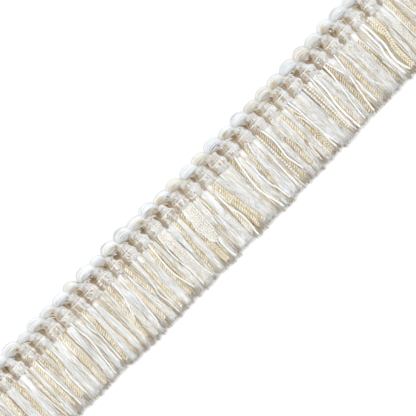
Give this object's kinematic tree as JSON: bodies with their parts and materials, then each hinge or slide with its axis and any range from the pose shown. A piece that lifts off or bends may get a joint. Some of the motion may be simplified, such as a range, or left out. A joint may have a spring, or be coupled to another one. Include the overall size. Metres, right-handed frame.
{
  "type": "brush fringe trim",
  "caption": "Flat cut length of woven brush fringe: a two-row heading with a looped top edge and a thick cut skirt of mixed yarns.",
  "frame": {"origin": "on the back of the trim, under the middle of its bounding box", "axes": "+X along the trim, +Y across it towards the looped edge, +Z out of the face"},
  "size_m": [0.2338, 0.04, 0.0047],
  "materials": {
    "heading_yarn": "satin viscose floss bundles under fine bright binding threads, cool white with cream and pale gold strands",
    "skirt_yarn": "satin white floss, bright white cords, pale gold and cream plied cords and crinkled off-white yarn, cut and slightly ragged"
  },
  "bodies": {
    "root": {"heading": "heading_yarn", "skirt": "skirt_yarn"}
  },
  "joints": []
}
